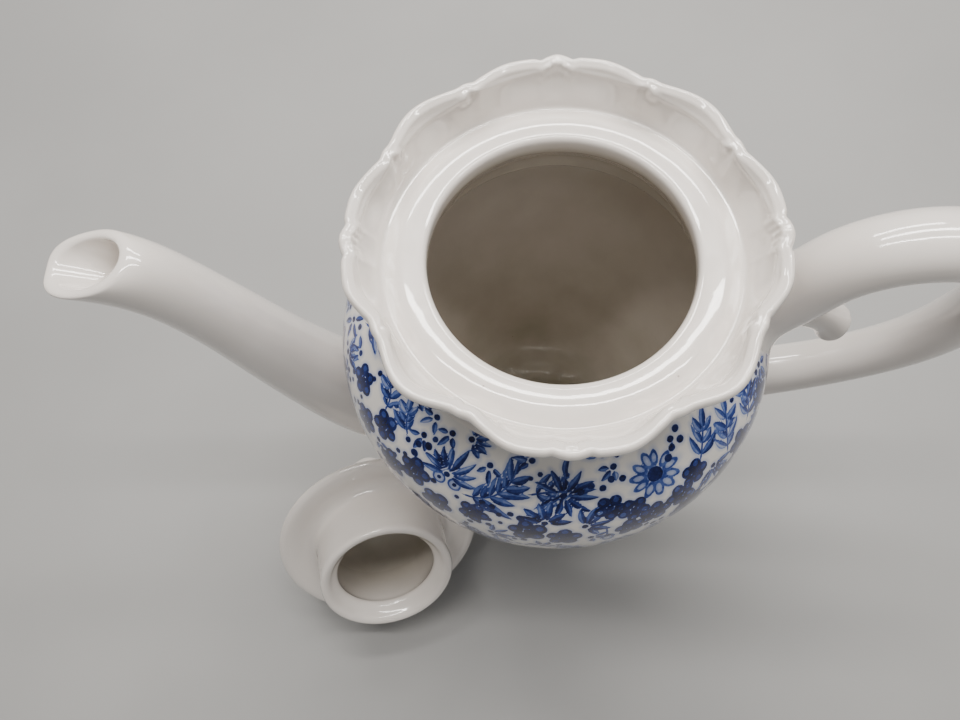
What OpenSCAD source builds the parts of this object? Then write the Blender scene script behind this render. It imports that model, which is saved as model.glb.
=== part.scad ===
// Baroque porcelain pot with a scalloped gallery rim, swan-neck spout, scrolled
// ear handle and a loose flanged lid that lies upside down beside the pot.
// Frame: origin at the centre of the foot's underside, +Z up, handle towards +X,
// spout towards -X. The slip-cast shell and the luted spout, handle and scrolls
// are one rigid pot; the cover, its flange and its knob are one rigid lid.

/* [Pot body] */
// Height of the mouth edge above the table
mouth_h = 210; // [200:1:220]
// Radius of the round mouth
mouth_r = 35; // [33:0.5:36]
// Radius of the body at its widest
belly_r = 68; // [65:0.5:71]
// Thickness of the porcelain wall
wall = 4; // [3.5:0.1:4.5]
// Radius of the foot ring at its bead
foot_r = 41; // [40:0.5:43]

/* [Gallery rim] */
// Radius where the lid seat meets the flared collar
seat_r = 45.8; // [45.6:0.1:46.5]
// Mean radius of the scalloped edge
rim_r = 53.9; // [53:0.1:56]
// Height of the scalloped edge above the mouth edge
rim_rise = 10.5; // [8:0.5:11]
// How far the lobes stand out from the mean radius
lobe = 1.7; // [0.5:0.1:2.5]

/* [Spout] */
// Thickness of the spout wall
spout_wall = 2.4; // [2:0.1:3]
// Diameter of each pouring hole behind the spout
pour_hole_d = 5; // [4:0.5:6]

/* [Lid] */
// Radius of the lid's disc
lid_r = 45.1; // [44:0.1:45.2]
// Outer radius of the locating flange
flange_r = 28.8; // [27:0.1:31]
// Length of the locating flange below the disc
flange_len = 24.6; // [20:0.1:27]
// Radius of the round knob
knob_r = 10; // [9:0.5:11]
// Angle of the upturned lid's axis from vertical as it lies on the table
lid_tilt = 53.3; // [50:0.1:56]
// Direction in which the upturned lid opens, counted from +X
lid_heading = -69.5; // [-80:0.5:-60]

/* [Hidden] */
glaze = [0.95, 0.94, 0.92];
cobalt_ground = [0.42, 0.52, 0.80];
bisque = [0.88, 0.84, 0.76];
round_fn = 160;

body_base_z = 7;                 // underside of the body, closed by the foot ring
neck_z = mouth_h - 20;           // joint between the body and the lid seat
floor_z = body_base_z + 5;       // inside floor
grow = belly_r / 68;             // widens the whole outline with the belly

// Outer outline of the body as [height, radius], from the foot to the waist of the neck
BODY_OUTLINE = [[7, 37.6], [12, 34.2], [20, 32.2], [34, 33.4], [52, 37.6], [74, 44.6], [97, 53],
                [119, 60.8], [138, 66.2], [153, 68], [166, 66.6], [175, 62.8], [182, 56.8],
                [187.5, 49.8], [193, 44]];

// Cubic through the outline's points: the radius at height z
function knot(z, i = 0) = (i >= len(BODY_OUTLINE) - 2 || z < BODY_OUTLINE[i + 1][0]) ? i : knot(z, i + 1);
function outline_slope(i) =
    let (a = BODY_OUTLINE[max(i - 1, 0)], b = BODY_OUTLINE[min(i + 1, len(BODY_OUTLINE) - 1)])
    (b[1] - a[1]) / (b[0] - a[0]);
function body_r(z) =
    let (i = knot(z), a = BODY_OUTLINE[i], b = BODY_OUTLINE[i + 1], h = b[0] - a[0], t = (z - a[0]) / h)
    grow * ((2 * pow(t, 3) - 3 * t * t + 1) * a[1] + (pow(t, 3) - 2 * t * t + t) * h * outline_slope(i)
          + (3 * t * t - 2 * pow(t, 3)) * b[1] + (pow(t, 3) - t * t) * h * outline_slope(i + 1));
function body_lean(z) = (body_r(z + 0.1) - body_r(z - 0.1)) / 0.2;
function inside_r(z) = body_r(z) - wall * sqrt(1 + pow(body_lean(z), 2));

// Spline through points a, b, c, d between b and c
function blend4(a, b, c, d, t) =
    0.5 * (2 * b + (c - a) * t + (2 * a - 5 * b + 4 * c - d) * t * t + (3 * b - a - 3 * c + d) * pow(t, 3));
function along(keys, u) =
    let (last = len(keys) - 1, i = min(floor(u), last - 1))
    blend4(keys[max(i - 1, 0)], keys[i], keys[i + 1], keys[min(i + 2, last)], u - i);

// Spout stations from the body to the lip: [x, z, half depth, half width, climb of the axis]
SPOUT = [[-44, 74, 23, 20, 28], [-57, 80, 20.5, 18.6, 36], [-71, 93, 17.4, 17.4, 50],
         [-84.5, 120.5, 14.8, 15.4, 66], [-94, 147, 12.6, 13, 71], [-101, 170, 11.2, 11.2, 71],
         [-107.5, 188, 10.4, 10.2, 66], [-114, 200, 10.6, 10, 60], [-119.5, 205.5, 11.4, 9.9, 65],
         [-126.6, 209.4, 12.8, 9.8, 74]];
rim_sides = 120;
spout_sides = 24;
spout_steps = 3;                 // rings per station

// Handle stations from the upper to the lower root: [x, z, half depth, half width]
HANDLE = [[56, 171, 13, 13], [62, 180, 10.5, 11.2], [68.5, 190, 9.2, 10.2], [74, 201, 8.8, 9.8],
          [83, 208.8, 8.6, 9.7], [96, 211.6, 8.5, 9.7], [109.5, 207.8, 8.4, 9.5], [119.5, 197, 8.2, 9.1],
          [125, 181, 8, 8.7], [124.2, 163, 7.8, 8.5], [118.8, 147.5, 7.8, 8.4],
          [109.5, 135.5, 7.8, 8.4], [98, 126.3, 8, 8.6], [84.5, 119, 8.6, 9], [71, 113.5, 9.8, 9.6],
          [57, 108.5, 12, 11]];
SCROLL = [[60, 174, 6, 6], [69, 175, 5.4, 5.6], [77, 171.5, 4.6, 5], [83.5, 166.5, 4.8, 5],
          [87.5, 163, 5, 5.2]];
LEAF = [[86, 111.5, 4, 5.2], [79, 105.5, 4.6, 6], [71.5, 100.5, 4.2, 5.4], [66.5, 99.5, 3.2, 4.2]];
handle_sides = 20;
handle_steps = 3;
press = 1.5;                     // how far luted roots sink into the body wall

// Lid sizes worked out from its lie: its disc edge and its knob both touch the table
edge_round = 2;
edge_up = 1.2;
lid_z = (lid_r - edge_round) * sin(lid_tilt) + edge_up * cos(lid_tilt) + edge_round;
knob_up = (lid_z - knob_r) / cos(lid_tilt);
LID_PLACE = [-74.4, -52.8, lid_z];
ledge_r = 21.2;                  // inner ridge of the flange, a little way in from its end

// Unit vector at an angle in the XZ plane
function dir(angle) = [cos(angle), sin(angle)];
// Points of one oval ring in the plane square to the pitch
function oval(x, z, depth, width, pitch, sides) =
    [for (k = [0 : sides - 1]) let (a = 360 * k / sides, up = dir(pitch + 90))
        [x + depth * cos(a) * up[0], width * sin(a), z + depth * cos(a) * up[1]]];
// A point moved level with the body's wall, sunk in it by the press depth
function onto_body(p) =
    let (s = (body_r(p[2]) - press) / norm([p[0], p[1]])) [p[0] * s, p[1] * s, p[2]];
// Direction of travel along a list of stations
function heading(keys, u) =
    let (a = along(keys, max(u - 0.02, 0)), b = along(keys, min(u + 0.02, len(keys) - 1)))
    atan2(b[1] - a[1], b[0] - a[0]);
// Faces that join ring r to ring r + 1 of a swept skin
function skin(rings, sides) =
    [for (r = [0 : rings - 2], k = [0 : sides - 1]) let (n = (k + 1) % sides, a = r * sides, b = a + sides)
        each [[a + k, b + n, a + n], [a + k, b + k, b + n]]];

// A solid swept along stations. Each end is either pressed into the body or domed.
module swept(keys, sides, steps, root_start, root_end) {
    count = (len(keys) - 1) * steps + 1;
    rings = [for (i = [0 : count - 1]) let (u = i / steps, p = along(keys, u))
        let (ring = oval(p[0], p[1], p[2], p[3], heading(keys, u), sides))
        (i == 0 && root_start) || (i == count - 1 && root_end) ? [for (q = ring) onto_body(q)] : ring];
    first = keys[0];
    last = keys[len(keys) - 1];
    nose = last[2] * 0.45 * dir(heading(keys, len(keys) - 1));
    tail = first[2] * 0.45 * dir(heading(keys, 0));
    start_tip = root_start ? onto_body([first[0], 0, first[1]])
                           : [first[0] - tail[0], 0, first[1] - tail[1]];
    end_tip = root_end ? onto_body([last[0], 0, last[1]]) : [last[0] + nose[0], 0, last[1] + nose[1]];
    points = concat([for (ring = rings) each ring], [start_tip, end_tip]);
    end_ring = (count - 1) * sides;
    polyhedron(points, concat(
        skin(count, sides),
        [for (k = [0 : sides - 1]) [len(points) - 2, k, (k + 1) % sides]],
        [for (k = [0 : sides - 1]) [len(points) - 1, end_ring + (k + 1) % sides, end_ring + k]]));
}

module body() color(cobalt_ground) {
    step = 4;
    outer = [for (z = [body_base_z : step : neck_z - 1]) [body_r(z), z]];
    inner = [for (z = [floor_z + 12 : step : neck_z - 1]) [inside_r(z), z]];
    corner = [for (a = [0 : 15 : 75]) [inside_r(24) - 12 + 12 * sin(a), floor_z + 12 - 12 * cos(a)]];
    difference() {
        rotate_extrude($fn = round_fn)
            polygon(concat([[0, body_base_z]], outer, [[body_r(neck_z), neck_z], [inside_r(neck_z), neck_z]],
                           [for (i = [len(inner) - 1 : -1 : 0]) inner[i]],
                           [for (i = [len(corner) - 1 : -1 : 0]) corner[i]], [[0, floor_z]]));
        pouring_holes();
    }
}

// One hole in the middle and a ring of six, square to the wall behind the spout
module pouring_holes() {
    root_z = 83;
    ring_r = 9;
    translate([-body_r(root_z), 0, root_z]) rotate([0, 90 - 22, 0]) {
        cylinder(h = 4 * wall, d = pour_hole_d, center = true, $fn = 32);
        for (a = [0 : 60 : 300]) rotate(a) translate([ring_r, 0, 0])
            cylinder(h = 5 * wall, d = pour_hole_d, center = true, $fn = 32);
    }
}

module foot_ring() color(bisque) {
    tread = 1.6;                 // half width of the unglazed ring that stands on the table
    bead = [for (a = [-60 : 20 : 60]) [foot_r - 2.4 + 2.4 * cos(a), 3.2 + 2.4 * sin(a)]];
    rotate_extrude($fn = round_fn)
        polygon(concat([[foot_r - 5 - tread, 0.4], [foot_r - 4.6 - tread, 0], [foot_r - 4 + tread, 0]], bead,
                       [[body_r(body_base_z), body_base_z], [34, body_base_z], [36, 3]]));
}

// Convex ring that carries the lid, with the true round mouth inside it
module lid_seat() color(glaze) {
    mouth_round = 1.6;
    crown = [for (a = [180 : -15 : 90])
        [mouth_r + mouth_round + mouth_round * cos(a), mouth_h - mouth_round + mouth_round * sin(a)]];
    rotate_extrude($fn = round_fn)
        polygon(concat([[inside_r(neck_z), neck_z], [39.4, neck_z + 5], [37.9, neck_z + 9.5],
                        [mouth_r + 0.8, neck_z + 13.6], [mouth_r, neck_z + 14.8]],
                       crown, [[38.6, mouth_h + 0.5], [41, mouth_h + 0.6], [43.4, mouth_h + 0.1],
                               [seat_r, mouth_h - 1.2]],
                       [[seat_r, neck_z + 8.5], [44.5, neck_z + 5.6], [44, neck_z + 3], [body_r(neck_z), neck_z]]));
}

// Scallop wave: 1 at a lobe, -1 in a trough. Each quarter has a split lobe with a small
// pointed shell at its middle, and one plain lobe at 45 degrees.
function quarter(a) = abs(((a + 45) % 90) - 45);
function scallop(a) =
    let (q = quarter(a), split = 12.5, dip = 28)
    q < split ? cos(50 * (1 - q / split))
    : q < dip ? cos(180 * (q - split) / (dip - split))
    : -cos(180 * (q - dip) / (45 - dip));
function shell_tip(a) = exp(-pow(quarter(a) / 2.6, 2));
function edge_r(a) = rim_r + lobe * scallop(a) + 0.8 * shell_tip(a);
function edge_z(a) = mouth_h + rim_rise - 0.6 * scallop(a) + 0.5 * shell_tip(a);

// The collar's cross-section at an angle, as [radius, height] from its joint with the seat
function rim_section(a, inner_r) = let (r = edge_r(a), z = edge_z(a))
    [[inner_r, neck_z + 8.6], [inner_r + 2.4, neck_z + 12.4], [r - 4.2, z - 9], [r - 1.4, z - 4.6],
     [r, z - 2.2], [r - 0.5, z - 0.7], [r - 1.8, z], [r - 3.2, z - 0.8], [r - 4.4, z - 2.8],
     [inner_r + 2.6, mouth_h + 1.2], [inner_r + 0.8, mouth_h - 0.7], [inner_r, mouth_h - 1.2]];

module gallery_rim() color(glaze) {
    inner_r = seat_r / cos(180 / rim_sides) + 0.01;
    around = len(rim_section(0, inner_r));
    points = [for (k = [0 : rim_sides - 1]) let (a = 360 * k / rim_sides)
        each [for (p = rim_section(a, inner_r)) [p[0] * cos(a), p[0] * sin(a), p[1]]]];
    faces = [for (k = [0 : rim_sides - 1], j = [0 : around - 1])
        let (a = k * around, b = ((k + 1) % rim_sides) * around, n = (j + 1) % around)
        each [[a + j, a + n, b + n], [a + j, b + n, b + j]]];
    polyhedron(points, faces);
}

// Ring i of the spout, drawn in by a cut; the first ring lies on the body
function spout_ring(i, cut) =
    let (p = along(SPOUT, i / spout_steps),
         q = oval(p[0], p[1], p[2] - cut, p[3] - cut, 180 - p[4], spout_sides))
    i == 0 ? [for (v = q) onto_body(v)] : q;

module spout() color(glaze) {
    count = (len(SPOUT) - 1) * spout_steps + 1;
    tip = SPOUT[len(SPOUT) - 1];
    lip = spout_wall / 2;
    out = dir(180 - tip[4]);
    crest = [for (v = oval(tip[0], tip[1], tip[2] - lip, tip[3] - lip, 180 - tip[4], spout_sides))
        v + lip * [out[0], 0, out[1]]];
    outer = [for (i = [0 : count - 1]) spout_ring(i, 0)];
    inner = [for (i = [count - 1 : -1 : 0]) spout_ring(i, spout_wall)];
    rings = concat(outer, [crest], inner);
    last = (len(rings) - 1) * spout_sides;
    root = [for (k = [0 : spout_sides - 1]) let (n = (k + 1) % spout_sides)
        each [[k, n, last + n], [k, last + n, last + k]]];
    polyhedron([for (r = rings) each r], concat(skin(len(rings), spout_sides), root));
}

module handle() color(glaze) swept(HANDLE, handle_sides, handle_steps, true, true);
module handle_scroll() color(glaze) swept(SCROLL, 16, handle_steps, true, false);
module handle_leaf() color(glaze) swept(LEAF, 16, handle_steps, false, false);

// Turns the lid over and lays it on the table on its disc edge and its knob
module laid_down()
    translate(LID_PLACE) rotate(lid_heading) rotate([0, lid_tilt + 180, 0]) children();

module lid_cover() color(glaze) laid_down() {
    edge = [for (a = [-90 : 20 : 90]) [lid_r - edge_round + edge_round * cos(a), edge_up + edge_round * sin(a)]];
    rotate_extrude($fn = round_fn)
        polygon(concat([[ledge_r + 2, 0], [lid_r - 4, 0], [lid_r - 3.2, -0.6]], edge,
                       [[40, 4.6], [36.5, 9], [32.5, 15], [27, 20.6], [20, 25.4], [13, 28.8], [7, 30.6], [0, 31]],
                       [[0, 27], [7, 26.2], [13.5, 23.8], [19, 19.6], [22.6, 14], [23.4, 7]]));
}

module lid_flange() color(glaze) laid_down() {
    lip = 1.6;
    nose = [for (a = [-180 : 30 : 0])
        [flange_r - lip + lip * cos(a), lip - flange_len + lip * sin(a)]];
    rotate_extrude($fn = round_fn)
        polygon(concat([[ledge_r + 2, 0], [ledge_r + 1.6, 8 - flange_len], [ledge_r, 7.4 - flange_len],
                        [ledge_r + 0.4, 6.2 - flange_len], [flange_r - 2 * lip - 0.6, 3 - flange_len]], nose,
                       [[flange_r + 0.4, -4], [flange_r + 1.4, -1.2], [flange_r + 3, 0]]));
}

module lid_knob() color(glaze) laid_down() {
    neck_r = 5;
    ball = [for (a = [-56 : 8 : 88]) [knob_r * cos(a), knob_up + knob_r * sin(a)]];
    rotate_extrude($fn = round_fn)
        polygon(concat([[0, 31], [7, 30.6], [6.4, 32.2], [neck_r + 0.5, 33.8], [neck_r, 35.4]], ball,
                       [[0, knob_up + knob_r]]));
}

body();
foot_ring();
lid_seat();
gallery_rim();
spout();
handle();
handle_scroll();
handle_leaf();
lid_cover();
lid_flange();
lid_knob();
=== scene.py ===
import math

import bpy
import numpy as np
from mathutils import Matrix, Vector


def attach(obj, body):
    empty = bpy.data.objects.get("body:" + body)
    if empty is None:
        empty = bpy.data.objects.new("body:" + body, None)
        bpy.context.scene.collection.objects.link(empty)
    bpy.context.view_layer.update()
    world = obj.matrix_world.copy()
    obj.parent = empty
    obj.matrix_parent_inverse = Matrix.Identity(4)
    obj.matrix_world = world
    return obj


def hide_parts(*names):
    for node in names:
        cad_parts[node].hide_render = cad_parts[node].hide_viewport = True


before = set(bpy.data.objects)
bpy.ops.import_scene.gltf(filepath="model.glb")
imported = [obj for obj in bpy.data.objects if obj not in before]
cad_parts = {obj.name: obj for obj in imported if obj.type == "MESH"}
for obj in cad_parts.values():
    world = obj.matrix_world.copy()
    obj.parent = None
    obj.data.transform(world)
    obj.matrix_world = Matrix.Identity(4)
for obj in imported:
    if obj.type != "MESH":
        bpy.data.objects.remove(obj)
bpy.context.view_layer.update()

MM = 0.001
scene = bpy.context.scene
show = scene.collection.objects.link


# ---- camera and studio
def photo_camera():
    """Stands above the pot's near side and looks steeply down into its mouth."""
    heading, pitch, roll = math.radians(97.5), math.radians(69.5988), math.radians(7.6043)
    forward = Vector((math.cos(heading) * math.cos(pitch), math.sin(heading) * math.cos(pitch),
                      -math.sin(pitch)))
    level = Vector((math.sin(heading), -math.cos(heading), 0))
    below = forward.cross(level)
    right = math.cos(roll) * level + math.sin(roll) * below
    down = -math.sin(roll) * level + math.cos(roll) * below
    data = bpy.data.cameras.new("camera")
    data.sensor_width, data.lens, data.clip_start = 36, 27, 0.01
    camera = bpy.data.objects.new("camera", data)
    camera.matrix_world = (Matrix.Translation((-0.012733, -0.089761, 0.375089))
                           @ Matrix((right, -down, -forward)).transposed().to_4x4())
    show(camera)
    scene.camera = camera


def softbox(name, place, target, size, watts, colour, glossy=True):
    """A rectangular lamp. Without a target it faces straight down, with its first side along X."""
    data = bpy.data.lights.new(name, "AREA")
    data.shape, (data.size, data.size_y) = "RECTANGLE", size
    data.energy, data.color = watts, colour
    lamp = bpy.data.objects.new(name, data)
    lamp.location = place
    if target is not None:
        lamp.rotation_euler = (Vector(target) - Vector(place)).to_track_quat("-Z", "Y").to_euler()
    lamp.visible_glossy = glossy
    show(lamp)


# ---- shader building
class Shader:
    """A material whose nodes are added by short calls."""

    def __init__(self, name):
        self.material = bpy.data.materials.new(name)
        self.material.use_nodes = True
        self.tree = self.material.node_tree
        self.surface = self.tree.nodes["Principled BSDF"]
        self.coords = self.node("TexCoord").outputs["Object"]

    def node(self, kind):
        return self.tree.nodes.new("ShaderNode" + kind)

    def link(self, value, socket):
        if isinstance(value, bpy.types.NodeSocket):
            self.tree.links.new(value, socket)
        else:
            socket.default_value = value

    def math(self, operation, *values):
        node = self.node("Math")
        node.operation = operation
        for value, socket in zip(values, node.inputs):
            self.link(value, socket)
        return node.outputs[0]

    def times(self, *values):
        return self.math("MULTIPLY", *values)

    def ramp(self, value, low, high, at_low=0.0, at_high=1.0):
        """Smooth step of a value from at_low to at_high."""
        node = self.node("MapRange")
        node.interpolation_type = "SMOOTHSTEP"
        keys = ("Value", "From Min", "From Max", "To Min", "To Max")
        for key, item in zip(keys, (value, low, high, at_low, at_high)):
            self.link(item, node.inputs[key])
        return node.outputs[0]

    def noise(self, scale, detail, rough=0.5, distortion=0.0):
        node = self.node("TexNoise")
        self.tree.links.new(self.coords, node.inputs["Vector"])
        keys = ("Scale", "Detail", "Roughness", "Distortion")
        for key, value in zip(keys, (scale, detail, rough, distortion)):
            node.inputs[key].default_value = value
        return node.outputs["Fac"]

    def cells(self, scale):
        node = self.node("TexVoronoi")
        self.tree.links.new(self.coords, node.inputs["Vector"])
        node.inputs["Scale"].default_value = scale
        return node.outputs["Distance"]

    def field(self, name):
        node = self.node("Attribute")
        node.attribute_name = name
        return node.outputs["Fac"]

    def mix(self, factor, first, second):
        node = self.node("Mix")
        node.data_type = "RGBA"
        self.link(factor, node.inputs[0])
        self.link(first, node.inputs[6])
        self.link(second, node.inputs[7])
        return node.outputs[2]

    def colours(self, factor, stops):
        node = self.node("ValToRGB")
        ramp = node.color_ramp
        while len(ramp.elements) < len(stops):
            ramp.elements.new(0.5)
        for element, (position, colour) in zip(ramp.elements, stops):
            element.position, element.color = position, (*colour, 1)
        self.tree.links.new(factor, node.inputs[0])
        return node.outputs[0]

    def bump(self, height, strength, distance):
        node = self.node("Bump")
        node.inputs["Strength"].default_value = strength
        node.inputs["Distance"].default_value = distance
        self.link(height, node.inputs["Height"])
        self.tree.links.new(node.outputs[0], self.surface.inputs["Normal"])
        self.tree.links.new(node.outputs[0], self.surface.inputs["Coat Normal"])

    def finish(self, **values):
        """Sets sockets of the surface by name: coat_ior stands for Coat IOR."""
        for name, value in values.items():
            socket = name.replace("_", " ").title().replace("Ior", "IOR")
            self.link(value, self.surface.inputs[socket])
        return self.material


WARM_WHITE, CLOUD_WHITE = (0.815, 0.762, 0.712, 1), (0.78, 0.722, 0.668, 1)
# COFFEE_AND_SHADE darkens the insides: partly a coffee stain, partly painted shade of the hollows
COFFEE_AND_SHADE, IRON, SOOT = (0.31, 0.275, 0.19, 1), (0.20, 0.13, 0.08, 1), (0.30, 0.26, 0.22, 1)
CLAY, DARK_CLAY = (0.70, 0.63, 0.53, 1), (0.55, 0.47, 0.37, 1)
PAPER, DARK_PAPER = (0.355, 0.352, 0.346, 1), (0.330, 0.327, 0.321, 1)


def glazed(shader, base, coat=1.0):
    """Clear hard glaze over a soft-looking clay: a sharp coat, gentle waves and rare pinholes."""
    waves = shader.noise(85, 2.0, 0.45)
    peel = shader.noise(620, 1.0, 0.5)
    pits = shader.ramp(shader.cells(150), 0.0, 0.035, -1.0, 0.0)
    height = shader.math("ADD", waves, shader.times(peel, 0.035))
    height = shader.math("ADD", height, shader.times(pits, 0.05))
    shader.bump(height, 0.10, 0.0012)
    rough = shader.ramp(shader.noise(240, 3.0), 0.35, 0.7, 0.12, 0.22)
    return shader.finish(base_color=base, roughness=rough, ior=1.5, specular_ior_level=0.3,
                         coat_weight=coat, coat_roughness=0.035, coat_ior=1.6)


def specks(shader, base):
    """Faint iron specks in the clay."""
    spots = shader.ramp(shader.cells(95), 0.016, 0.034, 1.0, 0.0)
    thin = shader.ramp(shader.noise(33, 0.0), 0.56, 0.60)
    share = shader.times(shader.times(spots, thin), 0.55)
    return shader.mix(share, base, IRON)


def clouded_white(shader):
    cloud = shader.ramp(shader.noise(26, 3.0), 0.34, 0.68)
    return shader.mix(cloud, WARM_WHITE, CLOUD_WHITE)


def white_porcelain(name):
    shader = Shader(name)
    return glazed(shader, specks(shader, clouded_white(shader)))


def stained_and_shaded_porcelain(name):
    """White porcelain browned where the field says that it is inside: coffee stain and painted shade."""
    shader = Shader(name)
    base = clouded_white(shader)
    patches = shader.ramp(shader.noise(42, 4.0), 0.2, 0.85, 0.55, 1.0)
    # this brown is partly a coffee stain and partly painted shade in the hollows
    coffee_and_shade = shader.times(shader.field("inside"), patches)
    return glazed(shader, specks(shader, shader.mix(coffee_and_shade, base, COFFEE_AND_SHADE)))


# white, then cobalt from its thinnest wash to its thickest pool
INK = [(0.0, (0.785, 0.75, 0.708)), (0.12, (0.44, 0.475, 0.60)), (0.3, (0.105, 0.165, 0.41)),
       (0.50, (0.024, 0.050, 0.235)), (0.72, (0.007, 0.015, 0.10)), (1.0, (0.002, 0.004, 0.030))]


def decorated_porcelain(name):
    """Cobalt under clear glaze, inked by the distance in mm to each kind of mark."""
    shader = Shader(name)
    wobble = shader.math("SUBTRACT", shader.noise(900, 2.0, 0.6), 0.5)
    wobble = shader.times(wobble, 0.32)
    pool = shader.noise(310, 3.0, 0.6)
    streak = shader.noise(1150, 2.0, 0.6, 0.4)
    leaf = shader.math("ADD", shader.field("leaf"), wobble)
    petal = shader.math("ADD", shader.field("petal"), wobble)
    dark = shader.math("ADD", shader.field("dark"), wobble)
    stem = shader.math("ADD", shader.math("ABSOLUTE", shader.field("stem")),
                       shader.times(wobble, 0.6))
    tone = shader.field("tone")

    half = shader.ramp(shader.field("side"), -0.20, 0.22, 0.20, -0.10)
    rim = shader.ramp(leaf, -0.55, -0.12, 0.0, 0.13)
    leaf_ink = shader.math("ADD", shader.math("ADD", tone, half), rim)
    leaf_ink = shader.times(leaf_ink, shader.ramp(leaf, -0.10, 0.16, 1.0, 0.0))
    fill = shader.ramp(petal, -1.9, 0.0, 0.10, 0.26)
    fill = shader.times(fill, shader.ramp(petal, -0.1, 0.16, 1.0, 0.0))
    line = shader.math("ABSOLUTE", shader.math("ADD", petal, 0.2))
    petal_ink = shader.math("MAXIMUM", fill, shader.ramp(line, 0.16, 0.44, 0.5, 0.0))
    dark_ink = shader.ramp(dark, -0.14, 0.20, 0.88, 0.0)
    stem_ink = shader.times(shader.ramp(stem, 0.16, 0.46, 0.56, 0.0),
                           shader.ramp(shader.field("near"), 0.9, 1.3, 1.0, 0.0))
    ink = shader.math("MAXIMUM", shader.math("MAXIMUM", leaf_ink, petal_ink),
                      shader.math("MAXIMUM", dark_ink, stem_ink))
    ink = shader.times(ink, shader.ramp(pool, 0.25, 0.75, 0.78, 1.16))
    ink = shader.times(ink, shader.ramp(streak, 0.2, 0.8, 0.86, 1.08))
    nearest = shader.math("MINIMUM", shader.math("MINIMUM", leaf, dark), petal)
    bleed = shader.ramp(nearest, 0.0, 1.5, 0.085, 0.0)
    ink = shader.math("MAXIMUM", ink, bleed)
    return glazed(shader, specks(shader, shader.colours(ink, INK)), 0.5)


def bisque_foot(name):
    """White glaze that stops at a bare, slightly gritty tread."""
    shader = Shader(name)
    bare = shader.field("bare")
    grit = shader.noise(1400, 4.0, 0.65)
    clay = shader.mix(shader.ramp(grit, 0.3, 0.75), CLAY, DARK_CLAY)
    clay = shader.mix(shader.ramp(shader.noise(70, 3.0), 0.5, 0.8, 0.0, 0.45), clay, SOOT)
    base = shader.mix(bare, WARM_WHITE, clay)
    shader.bump(shader.times(grit, bare), 0.35, 0.0003)
    rough = shader.math("ADD", 0.14, shader.times(bare, 0.62))
    return shader.finish(base_color=base, roughness=rough, ior=1.5)


def pale_floor(name):
    shader = Shader(name)
    cloud = shader.ramp(shader.noise(7, 4.0), 0.3, 0.7)
    shader.bump(shader.noise(900, 3.0), 0.08, 0.0004)
    return shader.finish(base_color=shader.mix(cloud, PAPER, DARK_PAPER), roughness=0.62)


# ---- curves and skins, in mm
def distances(path):
    """How far along a polyline each of its points lies."""
    return np.concatenate([[0], np.cumsum(np.linalg.norm(np.diff(path, axis=0), axis=1))])


def spline(keys, steps):
    """Natural cubic through the keys, spaced by their chords, with that many points per span."""
    keys = np.asarray(keys, float)
    chord = distances(keys[:, :2])
    spans = [np.linspace(a, b, steps, endpoint=False) for a, b in zip(chord[:-1], chord[1:])]
    at = np.concatenate(spans + [[chord[-1]]])
    return np.stack([cubic(chord, keys[:, k], at) for k in range(keys.shape[1])], axis=1)


def cubic(x, y, at):
    """Natural cubic interpolation of y over x."""
    n, h = len(x), np.diff(x)
    system, right = np.eye(n), np.zeros(n)
    for i in range(1, n - 1):
        system[i, i - 1:i + 2] = h[i - 1], 2 * (h[i - 1] + h[i]), h[i]
        right[i] = 6 * ((y[i + 1] - y[i]) / h[i] - (y[i] - y[i - 1]) / h[i - 1])
    m = np.linalg.solve(system, right)
    i = np.clip(np.searchsorted(x, at, side="right") - 1, 0, n - 2)
    a, b = x[i + 1] - at, at - x[i]
    return ((m[i] * a ** 3 + m[i + 1] * b ** 3) / (6 * h[i]) + (y[i] / h[i] - m[i] * h[i] / 6) * a
            + (y[i + 1] / h[i] - m[i + 1] * h[i] / 6) * b)


def resampled(path, count):
    """The same polyline with that many evenly spaced points."""
    run = distances(path)
    at = np.linspace(0, run[-1], count)
    return np.stack([np.interp(at, run, path[:, k]) for k in range(path.shape[1])], axis=1)


def even(path, spacing):
    """The same polyline with points at that spacing."""
    return resampled(path, max(2, int(round(distances(path)[-1] / spacing)) + 1))


def arc(centre, radius, start, end, count):
    angles = np.radians(np.linspace(start, end, count))
    return [(centre[0] + radius * math.cos(a), centre[1] + radius * math.sin(a)) for a in angles]


def unit(vectors):
    return vectors / np.linalg.norm(vectors, axis=-1, keepdims=True)


def smooth(x, low, high):
    t = np.clip((x - low) / (high - low), 0, 1)
    return t * t * (3 - 2 * t)


# height and radius of the body's outer skin
OUTLINE = np.array([(7, 37.6), (12, 34.2), (20, 32.2), (34, 33.4), (52, 37.6), (74, 44.6), (97, 53),
                    (119, 60.8), (138, 66.2), (153, 68), (166, 66.6), (175, 62.8), (182, 56.8),
                    (187.5, 49.8), (193, 44)], float)
FOOT_TOP, NECK, SKIN_Z = 7, 190, (8, 192)
WALL = 4.0
MOUTH_H, SEAT_R, RIM_R, LOBE, RIM_RISE = 210.0, 45.8, 53.9, 1.7, 10.5


def body_r(z):
    return cubic(OUTLINE[:, 0], OUTLINE[:, 1], np.asarray(z, float))


def body_slope(z):
    return (body_r(np.asarray(z) + 0.1) - body_r(np.asarray(z) - 0.1)) / 0.2


def lining_r(z):
    """Radius of the body's inner skin."""
    return body_r(z) - WALL * np.sqrt(1 + body_slope(z) ** 2)


def ring_faces(rows, columns, closed=False):
    """Quads that join the rows of a grid whose columns wrap round."""
    last = rows if closed else rows - 1
    r, k = np.meshgrid(np.arange(last), np.arange(columns), indexing="ij")
    n, s = (k + 1) % columns, (r + 1) % rows
    corners = [r * columns + k, r * columns + n, s * columns + n, s * columns + k]
    return np.stack(corners, axis=-1).reshape(-1, 4)


def turns(columns):
    """The angles of a skin's columns."""
    return 2 * math.pi * np.arange(columns) / columns


def ring_of(points):
    """Distances from the Z axis."""
    return np.hypot(points[..., 0], points[..., 1])


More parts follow.
